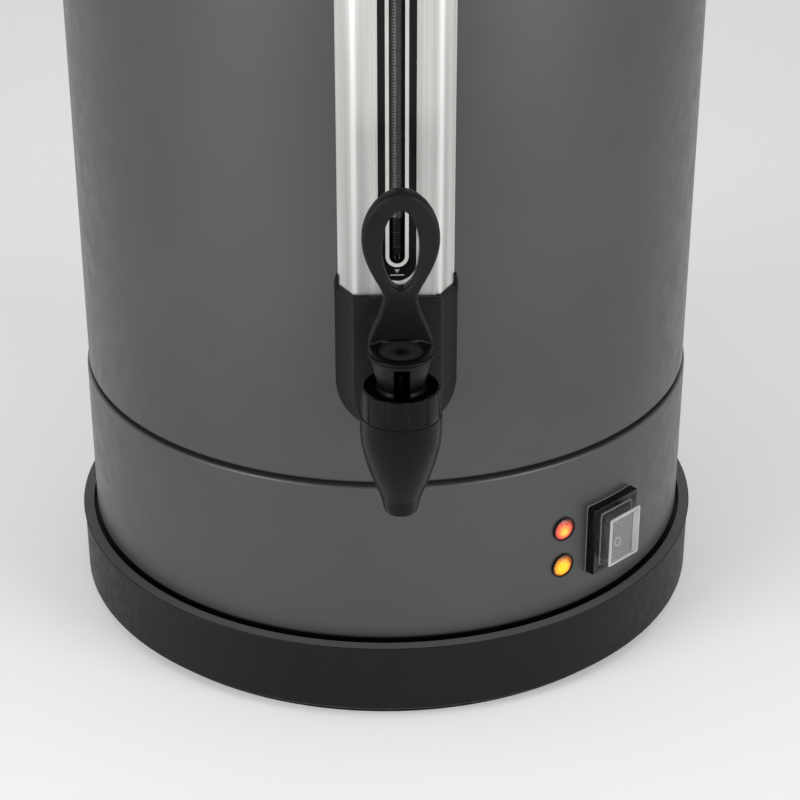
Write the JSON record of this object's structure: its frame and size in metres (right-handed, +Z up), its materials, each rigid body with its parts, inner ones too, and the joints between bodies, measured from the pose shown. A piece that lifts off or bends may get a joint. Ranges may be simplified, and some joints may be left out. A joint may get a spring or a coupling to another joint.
{
  "type": "coffee urn",
  "caption": "Double-wall coffee percolator urn with a sight gauge, a self-closing tap, a covered power switch and pilot lamps.",
  "frame": {"origin": "centre of the base, on the plane that the foot ring stands on", "axes": "+Z up along the urn's axis, -Y towards the tap, +X to the right as seen from the tap's side"},
  "size_m": [0.395, 0.3802, 0.488],
  "materials": {
    "charcoal_paint": "satin, fine orange peel",
    "base_plastic": "moulded, fine grain",
    "tap_plastic": "moulded, soft sheen",
    "gauge_plastic": "moulded, soft sheen",
    "grip_plastic": "moulded, fine grain",
    "switch_plastic": "moulded",
    "splash_cover": "clear, soft",
    "brushed_stainless": "brushed lengthwise",
    "tank_stainless": "satin",
    "plated_steel": "zinc plated",
    "black_steel": "black coated, satin",
    "screw_steel": "polished",
    "window_black": "printed",
    "gauge_glass": "clear",
    "black_rubber": "matte",
    "silicone": "food grade",
    "brass": "plain",
    "copper": "drawn",
    "red_lens": "clear red, lit",
    "amber_lens": "clear amber, lit",
    "lamp_glass": "neon glow",
    "cast_heater": "cast",
    "heater_sheath": "heat tinted",
    "cream_moulding": "moulded",
    "red_button": "moulded",
    "wire_jacket": "heat-proof sleeve"
  },
  "bodies": {
    "urn": {"foot_ring": "black_rubber", "base_ring": "base_plastic", "base_plate": "plated_steel", "base_plate_screws": "screw_steel", "base_trim": "charcoal_paint", "base_band": "charcoal_paint", "seam_gasket": "black_rubber", "heat_shield": "plated_steel", "heat_shield_screws": "screw_steel", "switch_body": "switch_plastic", "switch_cover": "splash_cover", "switch_terminals": "brass", "lamp_holders": "switch_plastic", "lamp_bulbs": "lamp_glass", "red_lamp_lens": "red_lens", "amber_lamp_lens": "amber_lens", "power_inlet": "switch_plastic", "inlet_pins": "brass", "inlet_screws": "screw_steel", "terminal_block": "cream_moulding", "wiring": "wire_jacket", "well_heater": "cast_heater", "warm_heater": "heater_sheath", "thermostat": "cream_moulding", "cutout": "cream_moulding", "cutout_capillary": "copper", "outer_shell": "charcoal_paint", "inner_tank": "tank_stainless", "rim_ring": "brushed_stainless", "handle_left": "grip_plastic", "handle_right": "grip_plastic", "handle_pads": "black_rubber", "handle_screws": "screw_steel", "gauge_guard": "brushed_stainless", "gauge_window": "window_black", "gauge_tube": "gauge_glass", "tube_seals": "silicone", "gauge_union": "brass", "gauge_boot": "gauge_plastic", "gauge_cap": "gauge_plastic", "cap_screw": "screw_steel", "tap_body": "tap_plastic", "shank_washers": "silicone", "shank_spacer": "black_rubber", "shank_nut": "brass", "tap_bonnet": "tap_plastic", "tap_spring": "tank_stainless"},
    "rocker": {"switch_rocker": "switch_plastic"},
    "reset": {"reset_button": "red_button"},
    "stem": {"tap_stem": "black_steel", "seat_cup": "silicone", "handle_pin": "screw_steel"},
    "handle": {"tap_handle": "tap_plastic"},
    "lid": {"lid": "charcoal_paint", "lid_skirt": "tank_stainless", "lid_knob": "grip_plastic", "knob_screw": "screw_steel"},
    "pump": {"pump_tube": "tank_stainless"},
    "basket": {"coffee_basket": "tank_stainless"},
    "spreader": {"basket_cover": "tank_stainless"}
  },
  "joints": [
    {"name": "rocker_tilt", "type": "hinge", "parent": "urn", "child": "rocker", "pos_m": [0.10072, -0.10953, 0.0746], "axis": [0.7361, 0.6769, 0], "range_deg": [0, 12]},
    {"name": "reset_press", "type": "slide", "parent": "urn", "child": "reset", "axis": [0, 0, 1], "range_m": [0, 0.002], "stiffness_N_per_m": 250, "springref_m": -0.001},
    {"name": "stem_lift", "type": "slide", "parent": "urn", "child": "stem", "axis": [0, 0, 1], "range_m": [0, 0.00192], "stiffness_N_per_m": 4000, "springref_m": -0.005, "deforming": ["tap_spring"]},
    {"name": "handle_tilt", "type": "hinge", "parent": "stem", "child": "handle", "pos_m": [0, -0.205, 0.203], "axis": [1, 0, 0], "range_deg": [0, 50]},
    {"name": "lid_lift", "type": "slide", "parent": "urn", "child": "lid", "axis": [0, 0, 1], "range_m": [0, 0.42]},
    {"name": "pump_lift", "type": "slide", "parent": "urn", "child": "pump", "axis": [0, 0, 1], "range_m": [0, 0.336]},
    {"name": "basket_lift", "type": "slide", "parent": "pump", "child": "basket", "axis": [0, 0, 1], "range_m": [0, 0.042]},
    {"name": "spreader_lift", "type": "slide", "parent": "basket", "child": "spreader", "axis": [0, 0, 1], "range_m": [0, 0.021]}
  ],
  "couplings": [
    {"joint": "handle_tilt", "follows": "stem_lift", "rad_per_m": 454.51},
    {"joint": "pump_lift", "follows": "lid_lift", "ratio": 0.8},
    {"joint": "basket_lift", "follows": "lid_lift", "ratio": 0.1},
    {"joint": "spreader_lift", "follows": "lid_lift", "ratio": 0.05}
  ]
}
